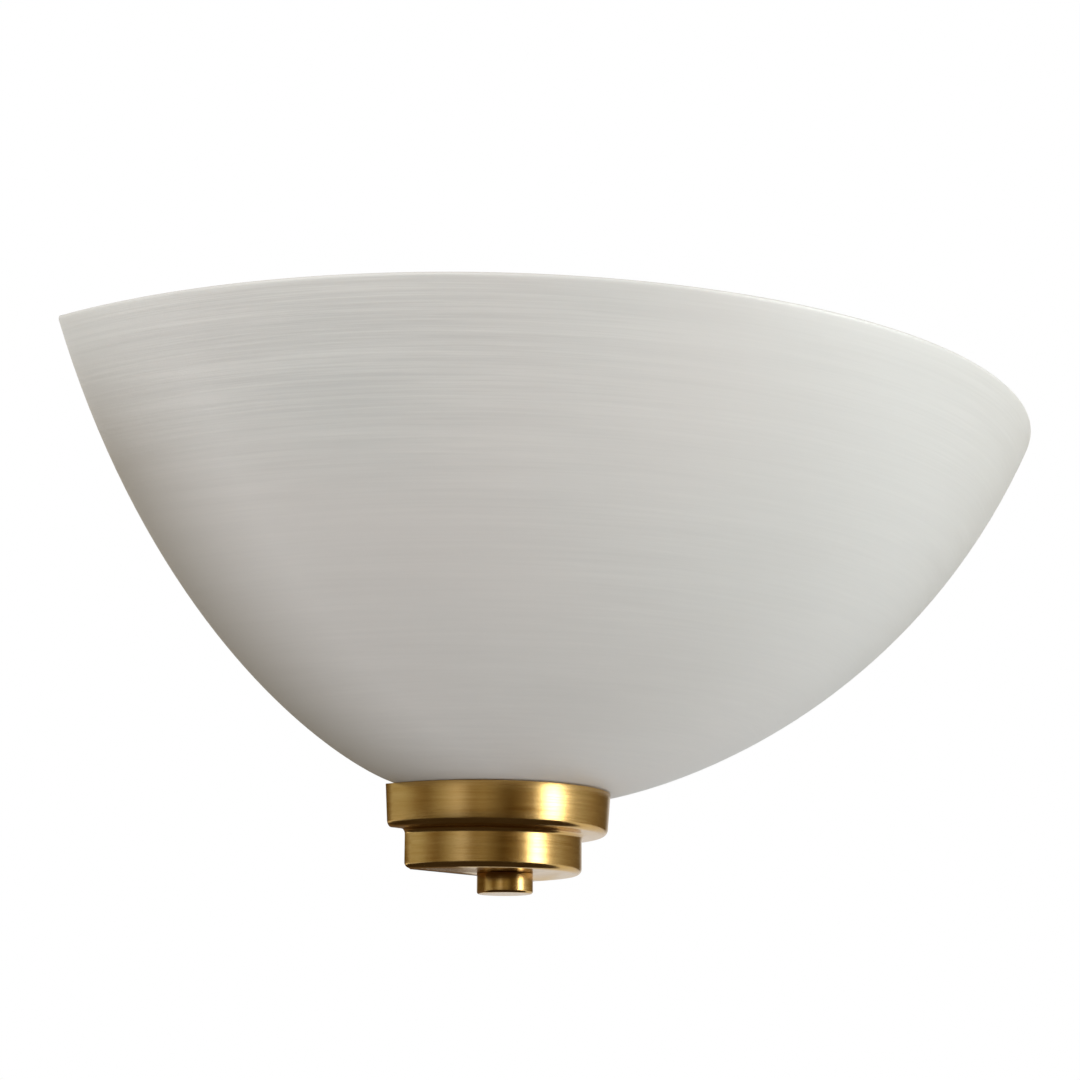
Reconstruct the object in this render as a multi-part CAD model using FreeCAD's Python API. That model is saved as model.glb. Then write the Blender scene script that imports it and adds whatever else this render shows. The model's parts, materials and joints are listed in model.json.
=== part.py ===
import FreeCAD, Part
import math
import os

# Uplighter wall sconce: half of a turned glass bowl, held by a stepped brass cap and a knob
# on a threaded rod. Millimetres. The wall is the plane y = 0 and the light stands out
# towards -Y, with +Z up. The origin lies midway between the two wall screws.

# Shade: the outer side curve leaves the rim at rim_slope and meets the base at neck_slope.
rim_height = 35.0
rim_radius = 150.0
rim_slope = 64.7
rim_pull = 75.6
bowl_depth = 92.4
neck_radius = 36.0
neck_slope = 9.0
neck_pull = 20.2
seat_radius = 26.0
glass_thickness = 4.0
glass_gap = 2.5
glass_edge_bevel = 0.9
notch_clearance = 1.1

# Cap: a pressed two-step cup with a straight skirt to the wall.
cap_rim_radius = 34.8
cap_upper_radius = 33.95
cap_lower_radius = 27.15
cap_upper_height = 11.0
cap_lower_height = 10.1
cap_wall = 1.2
cap_edge_round = 2.2
cap_inner_round = 1.4
cap_gap = 0.3
cap_glass_gap = 0.2
cap_hole_clearance = 0.35
gasket_width = 2.0
gasket_height = 3.2

# Knob, rod and the clamp inside the bowl.
rod_from_wall = 11.4
rod_radius = 4.95
rod_bore = 3.4
rod_end_length = 1.5
knob_radius = 7.3
knob_height = 5.3
knob_floor = 1.5
knob_edge = 0.7
knob_thread_gap = 0.05
nut_across_flats = 14.0
nut_thickness = 3.0
nut_chamfer = 0.6
pad_radius = 13.0
pad_thickness = 1.5
pad_wall_gap = 3.2
clamp_radius = 12.0
clamp_thickness = 1.5

# Back plate: bent sheet steel.
sheet = 1.5
bend_radius = 1.5
plate_top = 18.0
plate_from_rim = 58.0
plate_corner = 9.0
plate_side_height = 28.0
tab_half_width = 22.0
tab_reach = 24.0
tab_corner = 8.0
lip_half_width = 80.0
lip_reach = 7.0
wall_slot_from_edge = 10.0
wall_slot_length = 10.0
wall_slot_radius = 2.25
bush_x = 34.0
bush_z = 0.0
bush_radius = 7.0
bush_bore = 4.5
bush_flange_radius = 9.5
bush_flange = 1.8
bush_edge = 0.8

# Lamp holder on its bracket; the lamp lies along X.
lamp_from_wall = 54.0
lamp_drop = 6.0
bracket_from_edge = 19.0
bracket_half_width = 12.0
foot_reach = 24.0
rivet_spacing = 12.0
rivet_radius = 1.6
rivet_head_radius = 3.0
rivet_head = 1.2
rivet_recess = 0.2
nipple_bore = 3.6
nipple_tail = 5.0
nipple_reach = 9.0
washer_radius = 8.6
washer_thickness = 0.8
holder_radius = 20.5
holder_wall = 1.9
holder_length = 46.0
holder_cap_length = 15.0
holder_boss_radius = 8.2
holder_nose_radius = 11.0
holder_mouth_radius = 15.4
insert_start = 12.0
insert_thickness = 10.0
shell_inner_radius = 13.55
shell_wall = 0.5
shell_length = 21.0
shell_hole_radius = 7.0
contact_width = 5.0
contact_thickness = 0.5
contact_rise = 2.2

# Lamp: a round bulb of 55 mm on an E27 screw cap.
bulb_radius = 27.5
bulb_length = 98.0
bulb_wall = 1.0
bulb_neck_radius = 13.4
lamp_cap_radius = 13.15
lamp_cap_wall = 0.5
lamp_cap_length = 21.0
lamp_tip_radius = 4.6
lamp_tip_height = 1.6
lamp_cone_height = 4.4
lamp_contact_gap = 0.15

# Terminal block and its leads.
block_x = -6.0
block_z = 0.5
pole_pitch = 9.0
pole_count = 3
pole_width = 7.6
pole_length = 17.0
pole_height = 13.0
web_height = 4.0
web_width = 7.0
tube_side = 4.6
tube_length = 13.0
tube_bore = 1.6
tube_centre = 7.0
wire_hole = 1.9
clamp_screw_radius = 1.3
clamp_screw_head = 1.9
clamp_screw_head_height = 1.3
clamp_screw_offset = 3.6
screw_slot = 0.6
fixing_screw_radius = 1.4
fixing_head_radius = 2.0
fixing_head_height = 1.8
earth_x = -33.0
earth_z = -28.0
earth_screw_radius = 2.0
earth_head_radius = 3.6
earth_head_height = 2.6
earth_washer_radius = 4.4
earth_washer_thickness = 0.8
tag_radius = 4.0
tag_thickness = 0.8
tag_neck_half_width = 1.9
tag_length = 11.0
tag_barrel_radius = 1.7
tag_barrel_length = 5.0
tag_turn = 40.0
lead_radius = 1.1
lead_spacing = 2.6
lead_depth = 2.0
lead_exit = 8.0
lead_over_bracket = 4.0
lead_loop_rise = 1.5
lead_loop_reach = 10.7
lead_loop_bulge = 7.0

# Heights and places that follow from the sizes above.
neck_z = rim_height - bowl_depth
base_bend = (neck_radius - seat_radius) / math.sin(math.radians(neck_slope))
base_z = neck_z - base_bend * (1 - math.cos(math.radians(neck_slope)))
seat_z = base_z + glass_thickness
cap_top_z = neck_z - cap_glass_gap
cap_step_z = neck_z - cap_upper_height
cap_floor_z = cap_step_z - cap_lower_height
knob_bottom_z = cap_floor_z - knob_height
clamp_z = seat_z + pad_thickness
tab_z = clamp_z + clamp_thickness + nut_thickness
rod_top_z = tab_z + sheet + nut_thickness + rod_end_length
rod_bottom_z = knob_bottom_z + knob_floor
plate_half_width = rim_radius - plate_from_rim
wall_screw_spacing = 2 * (plate_half_width - wall_slot_from_edge)
bracket_x = bracket_from_edge - plate_half_width
nipple_tail_x = -sheet - washer_thickness - nut_thickness - nipple_tail
lamp_z = -lamp_drop
lamp_y = -lamp_from_wall
lamp_tip_x = insert_start + insert_thickness + contact_rise + contact_thickness + lamp_contact_gap
cap_shell_x = lamp_tip_x + lamp_tip_height + lamp_cone_height
poles = [(index - (pole_count - 1) / 2) * pole_pitch for index in range(pole_count)]

X = FreeCAD.Vector(1, 0, 0)
Y = FreeCAD.Vector(0, 1, 0)
Z = FreeCAD.Vector(0, 0, 1)
origin = FreeCAD.Vector(0, 0, 0)
big = 4 * rim_radius


def vec(x, y, z):
    return FreeCAD.Vector(x, y, z)


def outline(corners):
    """A closed wire in the XZ plane through (x, z, rounding) corners. Each corner is rounded by an
    arc of that radius, or cut flat where the figure is negative, that far along each side."""
    points = [vec(x, 0, z) for x, z, _ in corners]
    edges = []
    ends = []
    for index, (_, _, rounding) in enumerate(corners):
        here = points[index]
        before = (points[index - 1] - here).normalize()
        after = (points[(index + 1) % len(points)] - here).normalize()
        if rounding <= 0:
            ends.append((here - before * rounding, here - after * rounding, None))
            continue
        half = before.getAngle(after) / 2
        reach = rounding / math.tan(half)
        middle = (before + after).normalize() * (rounding / math.sin(half) - rounding)
        ends.append((here + before * reach, here + after * reach, here + middle))
    for index, (start, end, middle) in enumerate(ends):
        if middle is not None:
            edges.append(Part.Arc(start, middle, end).toShape())
        elif (end - start).Length > 1e-6:
            edges.append(Part.LineSegment(start, end).toShape())
        following = ends[(index + 1) % len(ends)][0]
        if (following - end).Length > 1e-6:
            edges.append(Part.LineSegment(end, following).toShape())
    return Part.Wire(edges)


def turned(corners, angle=360):
    """A solid of revolution about Z, from +X by way of -Y, of a closed (radius, z) outline."""
    return Part.Face(outline(corners)).revolve(origin, -Z, angle)


def cylinder(radius, height, start=origin, direction=Z):
    return Part.makeCylinder(radius, height, start, direction)


def box(x0, x1, y0, y1, z0, z1):
    return Part.makeBox(x1 - x0, y1 - y0, z1 - z0, vec(x0, y0, z0))


def slab(corners, depth):
    """The (x, z) outline made depth thick, from the wall plane outwards."""
    return Part.Face(outline(corners)).extrude(vec(0, -depth, 0))


def on_lamp_axis(shape):
    """Lays a shape that was turned about Z along the lamp's axis, from the bracket's face."""
    shape.rotate(origin, Y, 90)
    shape.translate(vec(bracket_x, lamp_y, lamp_z))
    return shape


def facing_out(shape, x, z, y=0):
    """Lays a shape that was turned about Z along -Y, at a place on the back plate."""
    shape.rotate(origin, X, 90)
    shape.translate(vec(x, y, z))
    return shape


def hex_nut(bore, z):
    """A thin hexagon nut on the rod's or nipple's axis, with both faces chamfered."""
    corner = nut_across_flats / math.sqrt(3)
    flat = nut_across_flats / 2
    points = [vec(corner * math.cos(a), corner * math.sin(a), z)
              for a in [math.radians(60 * side) for side in range(7)]]
    prism = Part.Face(Part.makePolygon(points)).extrude(Z * nut_thickness)
    top = z + nut_thickness
    lathe = [(0, z, 0), (flat, z, 0), (corner, z + nut_chamfer, 0),
             (corner, top - nut_chamfer, 0), (flat, top, 0), (0, top, 0)]
    return prism.common(turned(lathe)).cut(cylinder(bore, nut_thickness, vec(0, 0, z)))


def at_rod(shape):
    shape.translate(vec(0, -rod_from_wall, 0))
    return shape


def behind(limit):
    """Everything between the wall side and the plane y = -limit, to cut pieces clear of the wall."""
    return box(-big, big, -limit, big, -big, big)


# Shade

def bowl_face():
    slope = math.radians(rim_slope)
    neck = math.radians(neck_slope)
    along_rim = vec(-math.cos(slope), 0, -math.sin(slope))
    along_neck = vec(math.cos(neck), 0, math.sin(neck))
    inward = vec(-math.sin(neck), 0, math.cos(neck))
    outer_start = vec(rim_radius, 0, rim_height)
    outer_end = vec(neck_radius, 0, neck_z)
    inner_start = outer_start - X * (glass_thickness / math.sin(slope))
    inner_end = outer_end + inward * glass_thickness
    shorter = (inner_start - inner_end).Length / (outer_start - outer_end).Length

    def side(start, end, share):
        curve = Part.BezierCurve()
        curve.setPoles([start, start + along_rim * rim_pull * share,
                        end + along_neck * neck_pull * share, end])
        return curve.toShape()

    def base(end, radius, z):
        centre = vec(seat_radius, 0, base_z + base_bend)
        middle = centre + vec(math.sin(neck / 2), 0, -math.cos(neck / 2)) * radius
        return Part.Arc(end, middle, vec(seat_radius, 0, z)).toShape()

    edges = [side(outer_start, outer_end, 1), base(outer_end, base_bend, base_z),
             Part.makeLine(vec(seat_radius, 0, base_z), vec(0, 0, base_z)),
             Part.makeLine(vec(0, 0, base_z), vec(0, 0, seat_z)),
             Part.makeLine(vec(0, 0, seat_z), vec(seat_radius, 0, seat_z)),
             base(inner_end, base_bend - glass_thickness, seat_z),
             side(inner_start, inner_end, shorter),
             Part.makeLine(inner_start, outer_start)]
    return Part.Face(Part.Wire(Part.__sortEdges__(edges)))


def glass_shade():
    half = bowl_face().revolve(origin, -Z, 180).cut(behind(glass_gap))
    ground = [edge for edge in half.Edges
              if edge.BoundBox.ZMin > rim_height - 1e-3 or edge.BoundBox.YMin > -glass_gap - 1e-3]
    half = half.makeChamfer(glass_edge_bevel, ground)
    notch = rod_radius + notch_clearance
    slot = cylinder(notch, 3 * glass_thickness, vec(0, -rod_from_wall, base_z - glass_thickness))
    slot = slot.fuse(box(-notch, notch, -rod_from_wall, 0, base_z - glass_thickness,
                         seat_z + glass_thickness))
    return half.cut(slot)


# Cap and gasket

def half_round(corners):
    """A (radius, z) outline turned through half a circle in front of the cap's centre line and
    carried straight back to the wall, less the gap."""
    front = turned(corners, 180)
    mirrored = [(-x, z, rounding) for x, z, rounding in corners]
    skirt = glass_gap - cap_gap
    sides = [Part.Face(outline(side)).extrude(Y * skirt) for side in (corners, mirrored)]
    whole = front.fuse(sides).removeSplitter()
    whole.translate(vec(0, -glass_gap, 0))
    return whole


def base_cap():
    floor_in = cap_floor_z + cap_wall
    step_in = cap_step_z + cap_wall
    edge_in = cap_edge_round - cap_wall
    section = [(0, cap_floor_z, 0),
               (cap_lower_radius, cap_floor_z, cap_edge_round),
               (cap_lower_radius, cap_step_z, cap_inner_round),
               (cap_upper_radius, cap_step_z, cap_edge_round),
               (cap_rim_radius, cap_top_z, cap_wall * 0.45),
               (cap_rim_radius - cap_wall, cap_top_z, cap_wall * 0.45),
               (cap_upper_radius - cap_wall, step_in, edge_in),
               (cap_lower_radius - cap_wall, step_in, cap_inner_round + cap_wall),
               (cap_lower_radius - cap_wall, floor_in, edge_in),
               (0, floor_in, 0)]
    hole = cylinder(rod_radius + cap_hole_clearance, 2 * cap_wall,
                    vec(0, -rod_from_wall, cap_floor_z - cap_wall / 2))
    return half_round(section).cut(hole)


def cap_gasket():
    outer = cap_rim_radius - cap_wall
    draft = (cap_rim_radius - cap_upper_radius) / (cap_top_z - cap_step_z - cap_wall)
    low = cap_top_z - gasket_height
    section = [(outer - gasket_width, low, 0), (outer - draft * gasket_height, low, 0),
               (outer, cap_top_z, 0), (outer, neck_z, 0), (outer - gasket_width, neck_z, 0)]
    ring = half_round(section)
    return ring.cut(bowl_face().revolve(origin, -Z, 180))


# Knob, rod and clamp

def finial_knob():
    bore = rod_radius + knob_thread_gap
    section = [(0, knob_bottom_z, 0), (knob_radius, knob_bottom_z, knob_edge),
               (knob_radius, cap_floor_z, knob_edge / 2), (bore, cap_floor_z, 0),
               (bore, rod_bottom_z, 0), (0, rod_bottom_z, 0)]
    return at_rod(turned(section))


def fixing_rod():
    section = [(rod_bore, rod_bottom_z, 0), (rod_radius - nut_chamfer, rod_bottom_z, 0),
               (rod_radius, rod_bottom_z + nut_chamfer, 0), (rod_radius, rod_top_z - nut_chamfer, 0),
               (rod_radius - nut_chamfer, rod_top_z, 0), (rod_bore, rod_top_z, 0)]
    return at_rod(turned(section))


def rod_nuts():
    return at_rod(Part.makeCompound([hex_nut(rod_radius, tab_z - nut_thickness),
                                     hex_nut(rod_radius, tab_z + sheet)]))


def clamp_disc(radius, thickness, z):
    disc = at_rod(cylinder(radius, thickness, vec(0, 0, z)).cut(
        cylinder(rod_radius + knob_thread_gap, thickness, vec(0, 0, z))))
    return disc.cut(behind(pad_wall_gap))


# Back plate and cable bush

def back_plate():
    bend = bend_radius + sheet
    panel_top = plate_top - bend
    panel_bottom = tab_z + bend
    side_z = panel_top - plate_side_height
    panel = slab([(-tab_half_width, panel_bottom, 0), (tab_half_width, panel_bottom, 0),
                  (plate_half_width, side_z, plate_corner),
                  (plate_half_width, panel_top, plate_corner),
                  (-plate_half_width, panel_top, plate_corner),
                  (-plate_half_width, side_z, plate_corner)], sheet)
    tab = Part.Face(outline([(0, panel_bottom, 0), (0, tab_z, bend), (tab_reach, tab_z, 0),
                             (tab_reach, tab_z + sheet, 0), (sheet, tab_z + sheet, bend_radius),
                             (sheet, panel_bottom, 0)])).extrude(vec(0, 2 * tab_half_width, 0))
    tab.rotate(origin, Z, -90)
    tab.translate(vec(-tab_half_width, 0, 0))
    upright = [edge for edge in tab.Edges
               if edge.BoundBox.YMax < -tab_reach + 1e-3 and edge.BoundBox.XLength < 1e-3]
    tab = tab.makeFillet(tab_corner, upright)
    lip = Part.Face(outline([(0, panel_top, 0), (0, plate_top, bend), (lip_reach, plate_top, 0),
                             (lip_reach, plate_top - sheet, 0),
                             (sheet, plate_top - sheet, bend_radius),
                             (sheet, panel_top, 0)])).extrude(vec(0, 2 * lip_half_width, 0))
    lip.rotate(origin, Z, -90)
    lip.translate(vec(-lip_half_width, 0, 0))
    plate = panel.fuse([tab, lip]).removeSplitter()
    slot_half = wall_slot_length / 2
    slot = slab([(-slot_half, -wall_slot_radius, wall_slot_radius * 0.999),
                 (slot_half, -wall_slot_radius, wall_slot_radius * 0.999),
                 (slot_half, wall_slot_radius, wall_slot_radius * 0.999),
                 (-slot_half, wall_slot_radius, wall_slot_radius * 0.999)], sheet)
    cuts = []
    for sign in (-1, 1):
        one = slot.copy()
        one.translate(vec(sign * wall_screw_spacing / 2, 0, 0))
        cuts.append(one)
    cuts.append(cylinder(bush_radius, sheet, vec(bush_x, 0, bush_z), -Y))
    cuts.append(cylinder(rod_radius + knob_thread_gap, sheet, vec(0, -rod_from_wall, tab_z)))
    cuts.append(cylinder(fixing_screw_radius, sheet, vec(block_x, 0, block_z + pole_pitch / 2), -Y))
    cuts.append(cylinder(earth_screw_radius, sheet, vec(earth_x, 0, earth_z), -Y))
    cuts += [cylinder(rivet_radius, sheet, place, -Y) for place in rivet_places(0)]
    return plate.cut(cuts)


def rivet_places(y):
    x = bracket_x + sheet + bend_radius + (foot_reach - sheet - bend_radius) / 2
    return [vec(x, y, lamp_z + side * rivet_spacing / 2) for side in (-1, 1)]


def cable_bush():
    face = sheet + bush_flange
    return facing_out(turned([(bush_bore, 0, 0), (bush_radius, 0, 0), (bush_radius, sheet, 0),
                              (bush_flange_radius, sheet, 0), (bush_flange_radius, face, -bush_edge),
                              (bush_bore, face, -bush_edge)]), bush_x, bush_z)


# Bracket and lamp holder

def holder_bracket():
    reach = lamp_from_wall + bracket_half_width
    section = [(bracket_x - sheet, sheet, bend_radius + sheet), (bracket_x + foot_reach, sheet, 0),
               (bracket_x + foot_reach, 2 * sheet, 0), (bracket_x, 2 * sheet, bend_radius),
               (bracket_x, reach, 0), (bracket_x - sheet, reach, 0)]
    strip = Part.Face(outline(section)).extrude(vec(0, 2 * bracket_half_width, 0))
    strip.rotate(origin, X, 90)
    strip.translate(vec(0, 0, lamp_z - strip.BoundBox.Center.z))
    half = bracket_half_width
    rounded = slab([(0, -half, 0), (reach, -half, half * 0.999), (reach, half, half * 0.999),
                    (0, half, 0)], foot_reach + 2 * sheet)
    rounded.rotate(origin, Z, -90)
    rounded.translate(vec(bracket_x + foot_reach, 0, lamp_z))
    strip = strip.common(rounded)
    holes = [cylinder(rivet_radius, sheet, place, -Y) for place in rivet_places(-sheet)]
    holes.append(on_lamp_axis(cylinder(rod_radius, sheet, vec(0, 0, -sheet))))
    return strip.cut(holes)


def bracket_rivets():
    head = -rivet_radius * 0.5
    top = 2 * sheet + rivet_head
    section = [(0, rivet_recess, 0), (rivet_radius, rivet_recess, 0), (rivet_radius, 2 * sheet, 0),
               (rivet_head_radius, 2 * sheet, 0), (rivet_head_radius, top, head), (0, top, 0)]
    return Part.makeCompound([facing_out(turned(section), place.x, place.z)
                              for place in rivet_places(0)])


def holder_nipple():
    tail = nipple_tail_x
    return on_lamp_axis(turned([(nipple_bore, tail, 0), (rod_radius, tail, 0),
                                (rod_radius, nipple_reach, 0), (nipple_bore, nipple_reach, 0)]))


def nipple_nut():
    return on_lamp_axis(hex_nut(rod_radius, -sheet - washer_thickness - nut_thickness))


def nipple_washer():
    start = -sheet - washer_thickness
    return on_lamp_axis(turned([(rod_radius, start, 0), (washer_radius, start, 0),
                                (washer_radius, -sheet, 0), (rod_radius, -sheet, 0)]))


def holder_cap():
    wall = holder_wall
    end = holder_cap_length
    return on_lamp_axis(turned([
        (rod_radius, 0, 0), (holder_nose_radius, 0, -1.0), (holder_radius, end * 0.55, 4.0),
        (holder_radius, end, 0), (holder_radius - wall, end, 0),
        (holder_radius - wall, end * 0.55 + wall * 0.6, 0), (holder_nose_radius - wall, wall, 0),
        (holder_boss_radius, wall, 0), (holder_boss_radius, nipple_reach + 1, 0),
        (rod_radius, nipple_reach + 1, 0)]))


def holder_sleeve():
    outer = holder_radius
    inner = holder_radius - holder_wall
    start = holder_cap_length
    seat = insert_start + insert_thickness
    end = holder_length
    return on_lamp_axis(turned([
        (inner, start, 0), (outer, start, -0.4), (outer, end - 12, 0), (outer - 0.8, end - 11, 0),
        (outer - 1.4, end, 1.6), (holder_mouth_radius, end, -0.8),
        (holder_mouth_radius, end - holder_wall, 0), (inner - 1.2, end - holder_wall, 0),
        (inner, seat, 0)]))


def holder_insert():
    start = insert_start
    end = start + insert_thickness
    inner = holder_radius - holder_wall
    disc = turned([(0, start, 0), (inner - 2, start, 0), (inner, start + 2, 0),
                   (inner, end, -0.6), (0, end, 0)])
    holes = [cylinder(lead_radius, insert_thickness - 3, vec(-side * lead_spacing / 2, 0, start))
             for side in (-1, 1)]
    return on_lamp_axis(disc.cut(holes))


def holder_shell():
    start = insert_start + insert_thickness
    outer = shell_inner_radius + shell_wall
    end = start + shell_length
    return on_lamp_axis(turned([
        (shell_hole_radius, start, 0), (outer, start, -0.5), (outer, end, 0),
        (shell_inner_radius, end, 0), (shell_inner_radius, start + shell_wall, 0),
        (shell_hole_radius, start + shell_wall, 0)]))


def holder_contact():
    """A brass tongue: foot on the insert, a sloping leg and a flat nose that meets the lamp."""
    start = insert_start + insert_thickness
    foot = shell_hole_radius - 1
    nose = lamp_tip_radius - 1
    low = start
    high = start + contact_rise
    t = contact_thickness
    strip = Part.Face(outline([(-foot, low, 0), (-nose + t, low, t), (0, high, t), (nose, high, 0),
                               (nose, high + t, 0), (-t, high + t, 2 * t), (-nose, low + t, 2 * t),
                               (-foot, low + t, 0)])).extrude(Y * contact_width)
    strip.translate(vec(0, -contact_width / 2, 0))
    return on_lamp_axis(strip)


# Lamp

def lamp_globe():
    start = cap_shell_x + lamp_cap_length - 2
    end = lamp_tip_x + bulb_length
    centre = end - bulb_radius
    wall = bulb_wall

    def skin(inset):
        radius = bulb_radius - inset
        neck = bulb_neck_radius - inset
        lean = math.radians(38)
        join = vec(radius * math.cos(lean), 0, centre - radius * math.sin(lean))
        flare = Part.BezierCurve()
        pull = (centre - start) * 0.36
        foot = vec(neck, 0, start)
        flare.setPoles([foot, foot + Z * pull,
                        join - vec(math.sin(lean), 0, math.cos(lean)) * pull, join])
        dome = Part.Arc(join, vec(radius * math.cos(lean / 2), 0, centre + radius * math.sin(lean / 2)),
                        vec(0, 0, centre + radius))
        return flare.toShape(), dome.toShape()

    outer = skin(0)
    inner = skin(wall)
    edges = [*outer, *inner,
             Part.makeLine(vec(0, 0, end - wall), vec(0, 0, end)),
             Part.makeLine(vec(bulb_neck_radius, 0, start), vec(bulb_neck_radius - wall, 0, start))]
    return on_lamp_axis(Part.Face(Part.Wire(Part.__sortEdges__(edges))).revolve(origin, Z, 360))


def lamp_cap():
    start = cap_shell_x
    end = start + lamp_cap_length
    neck = bulb_neck_radius
    inner = lamp_cap_radius - lamp_cap_wall
    return on_lamp_axis(turned([
        (inner - 1.2, start, 0), (lamp_cap_radius - 0.8, start, 0), (lamp_cap_radius, start + 1.5, 0),
        (lamp_cap_radius, end - 4, 0), (neck + lamp_cap_wall, end - 2, 0),
        (neck + lamp_cap_wall, end, 0), (neck, end, 0), (neck, end - 2, 0),
        (neck - bulb_wall, end - 2, 0), (inner, end - 4, 0), (inner, start + 1.5, 0)]))


def lamp_insulator():
    start = lamp_tip_x + lamp_tip_height
    end = cap_shell_x
    outer = lamp_cap_radius - 0.8
    return on_lamp_axis(turned([(0, start, 0), (lamp_tip_radius + 1, start, 0), (outer, end, 0),
                                (0, end, 0)]))


def lamp_contact():
    start = lamp_tip_x
    end = start + lamp_tip_height
    return on_lamp_axis(turned([(0, start, 0), (lamp_tip_radius, start, lamp_tip_height * 0.7),
                                (lamp_tip_radius, end, 0), (0, end, 0)]))


# Terminal block

def terminal_block():
    half = pole_length / 2
    body = box(block_x - web_width / 2, block_x + web_width / 2, -sheet - web_height, -sheet,
               block_z + poles[0], block_z + poles[-1])
    tube_low = sheet + tube_centre - tube_side / 2
    for pole in poles:
        z = block_z + pole
        shell = box(block_x - half, block_x + half, -sheet - pole_height, -sheet,
                    z - pole_width / 2, z + pole_width / 2)
        long_edges = [edge for edge in shell.Edges
                      if edge.BoundBox.XLength > 1 and edge.BoundBox.YMax < -sheet - 1]
        shell = shell.makeChamfer(pole_width * 0.2, long_edges)
        body = body.fuse(shell)
    cuts = []
    for pole in poles:
        z = block_z + pole
        side = tube_side / 2
        cuts.append(box(block_x - tube_length / 2, block_x + tube_length / 2,
                        -tube_low - tube_side, -tube_low, z - side, z + side))
        cuts.append(cylinder(wire_hole, pole_length, vec(block_x - half, -sheet - tube_centre, z), X))
        for sign in (-1, 1):
            cuts.append(cylinder(clamp_screw_head + 0.2, pole_height,
                                 vec(block_x + sign * clamp_screw_offset, -tube_low - tube_side, z), -Y))
    for offset in range(pole_count - 1):
        z = block_z + poles[offset] + pole_pitch / 2
        cuts.append(cylinder(fixing_screw_radius, web_height, vec(block_x, -sheet, z), -Y))
        cuts.append(cylinder(fixing_head_radius + 0.1, pole_height, vec(block_x, -sheet - web_height, z), -Y))
    return body.cut(cuts).removeSplitter()


def terminal_tubes():
    tubes = []
    low = sheet + tube_centre - tube_side / 2
    for pole in poles:
        z = block_z + pole
        side = tube_side / 2
        tube = box(block_x - tube_length / 2, block_x + tube_length / 2, -low - tube_side, -low,
                   z - side, z + side)
        holes = [cylinder(tube_bore, tube_length, vec(block_x - tube_length / 2, -sheet - tube_centre, z), X)]
        holes += [cylinder(clamp_screw_radius, tube_side / 2,
                           vec(block_x + sign * clamp_screw_offset, -sheet - tube_centre, z), -Y)
                  for sign in (-1, 1)]
        tubes.append(tube.cut(holes))
    return Part.makeCompound(tubes)


def slotted_screw(radius, head_radius, tip, under_head, top):
    """A screw along Z with a cheese head and one slot; tip, under_head and top are heights."""
    screw = turned([(0, tip, 0), (radius, tip, 0), (radius, under_head, 0),
                    (head_radius, under_head, 0), (head_radius, top, -head_radius * 0.15), (0, top, 0)])
    return screw.cut(box(-head_radius, head_radius, -screw_slot / 2, screw_slot / 2,
                         top - (top - under_head) / 2, top))


def terminal_screws():
    tube_top = sheet + tube_centre + tube_side / 2
    tip = sheet + tube_centre + lead_radius
    screws = []
    for pole in poles:
        for sign in (-1, 1):
            screw = slotted_screw(clamp_screw_radius, clamp_screw_head, tip, tube_top,
                                  tube_top + clamp_screw_head_height)
            screws.append(facing_out(screw, block_x + sign * clamp_screw_offset, block_z + pole))
    return Part.makeCompound(screws)


def block_screw():
    under_head = sheet + web_height
    return facing_out(slotted_screw(fixing_screw_radius, fixing_head_radius, rivet_recess, under_head,
                                    under_head + fixing_head_height),
                      block_x, block_z + pole_pitch / 2)


# Earth point

def earth_washer():
    return facing_out(turned([(earth_screw_radius, sheet, 0), (earth_washer_radius, sheet, 0),
                              (earth_washer_radius, sheet + earth_washer_thickness, 0),
                              (earth_screw_radius, sheet + earth_washer_thickness, 0)]),
                      earth_x, earth_z)


def earth_tag():
    """A flat ring under the screw with a neck that runs up into a crimped barrel."""
    face = sheet + earth_washer_thickness
    neck = slab([(-tag_neck_half_width, 0, 0), (tag_neck_half_width, 0, 0),
                 (tag_neck_half_width, tag_length, 0), (-tag_neck_half_width, tag_length, 0)],
                tag_thickness)
    flat = cylinder(tag_radius, tag_thickness, origin, -Y).fuse(neck)
    barrel_centre = tag_barrel_radius
    barrel = cylinder(tag_barrel_radius, tag_barrel_length,
                      vec(0, -barrel_centre, tag_length - tag_barrel_length), Z)
    tag = flat.fuse(barrel).cut([
        cylinder(earth_screw_radius, tag_thickness, origin, -Y),
        cylinder(lead_radius, tag_barrel_length, vec(0, -barrel_centre, tag_length - tag_barrel_length + 1))])
    tag.rotate(origin, Y, tag_turn)
    tag.translate(vec(earth_x, -face, earth_z))
    return tag


def earth_screw():
    under_head = sheet + earth_washer_thickness + tag_thickness
    return facing_out(slotted_screw(earth_screw_radius, earth_head_radius, rivet_recess, under_head,
                                    under_head + earth_head_height), earth_x, earth_z)


# Leads

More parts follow.
